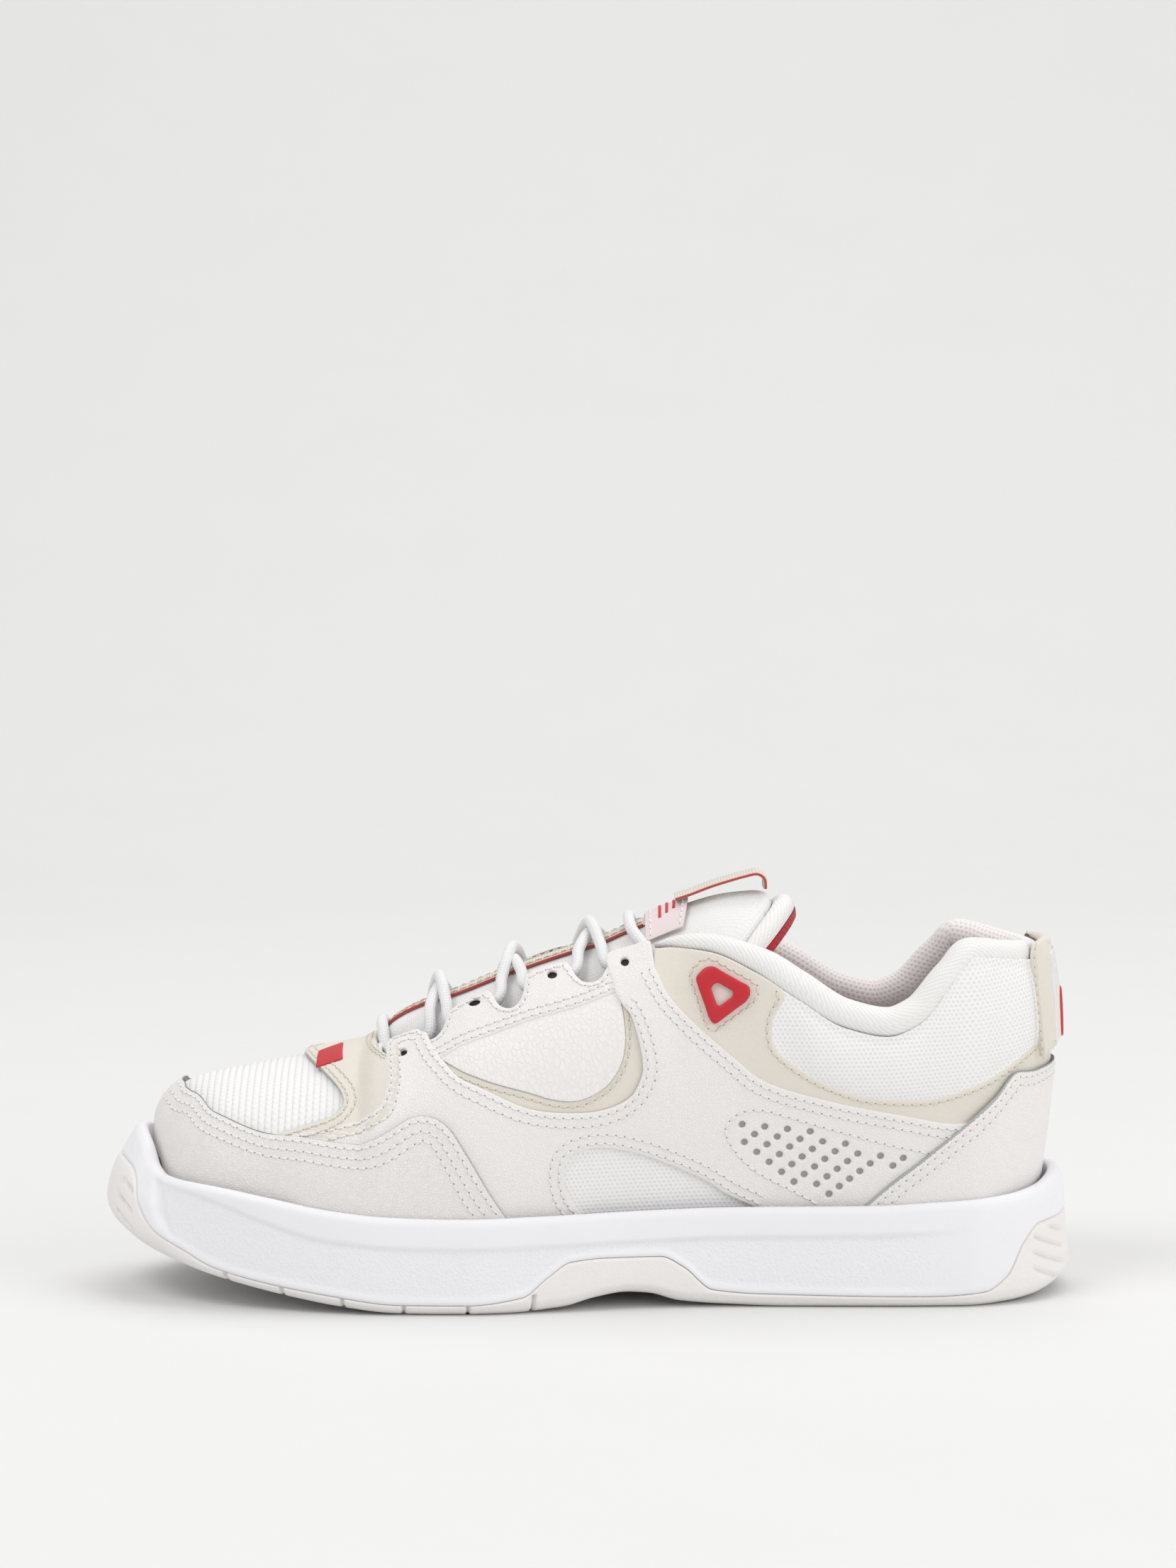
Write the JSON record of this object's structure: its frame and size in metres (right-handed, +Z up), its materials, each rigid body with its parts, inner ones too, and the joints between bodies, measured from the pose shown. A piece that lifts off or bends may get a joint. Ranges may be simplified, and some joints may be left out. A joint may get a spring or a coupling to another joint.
{
  "type": "low-top laced sneaker",
  "caption": "Low-top laced court sneaker, left foot: rubber cupsole, layered leather and mesh upper, padded knit collar, hinged padded tongue with pull loop.",
  "frame": {"origin": "on the ground plane under the middle of the shoe's length, on the line through the toe tip and the heel's back", "axes": "-X points to the toe, +X to the heel, -Y to the lateral side, +Z up"},
  "size_m": [0.2997, 0.1054, 0.1299],
  "materials": {
    "outsole_rubber": "satin, fine pebble",
    "midsole_foam": "matte",
    "board": "plain",
    "lining_mesh": "air mesh",
    "stiffener": "matte",
    "ribbed_knit": "ribbed knit",
    "cream_leather": "fine grain",
    "beige_suede": "soft, matte",
    "red_print": "matte",
    "white_leather": "smooth, fine grain",
    "tumbled_leather": "tumbled grain",
    "white_mesh": "knit mesh",
    "collar_knit": "textured knit",
    "red_moulding": "satin",
    "red_lining": "knit",
    "webbing": "woven tape",
    "label_cloth": "woven",
    "lace_braid": "braided",
    "aglet_film": "gloss"
  },
  "bodies": {
    "shoe": {"outsole": "outsole_rubber", "midsole": "midsole_foam", "insole_board": "board", "sockliner": "lining_mesh", "heel_counter": "stiffener", "toe_puff": "stiffener", "lining_vamp": "lining_mesh", "lining_lateral": "lining_mesh", "lining_medial": "lining_mesh", "lining_heel": "lining_mesh", "toe_mesh": "ribbed_knit", "toe_overlay": "cream_leather", "vamp_saddle": "beige_suede", "vamp_mark": "red_print", "quarter_lateral": "white_leather", "quarter_medial": "white_leather", "side_panel_lateral": "tumbled_leather", "side_panel_medial": "tumbled_leather", "underlay_lateral": "beige_suede", "underlay_medial": "beige_suede", "eyestay_lateral": "white_leather", "eyestay_medial": "white_leather", "window_mesh_lateral": "white_mesh", "window_mesh_medial": "white_mesh", "collar_panel_lateral": "beige_suede", "collar_panel_medial": "beige_suede", "ankle_mesh_lateral": "white_mesh", "ankle_mesh_medial": "white_mesh", "collar_roll": "collar_knit", "heel_overlay": "white_leather", "heel_tab": "beige_suede", "heel_badge": "red_print", "lace_keeper_lateral": "red_moulding", "lace_keeper_medial": "red_moulding", "lace": "lace_braid", "aglet_back": "aglet_film", "aglet_front": "aglet_film"},
    "tongue": {"tongue": "white_mesh", "tongue_lining": "red_lining", "tongue_binding": "collar_knit", "tongue_webbing": "webbing", "tongue_label": "label_cloth", "pull_loop": "webbing"}
  },
  "joints": [
    {"name": "tongue_hinge", "type": "hinge", "parent": "shoe", "child": "tongue", "pos_m": [-0.066, 0, 0.073], "axis": [0, 1, 0], "range_deg": [0, 8]}
  ]
}
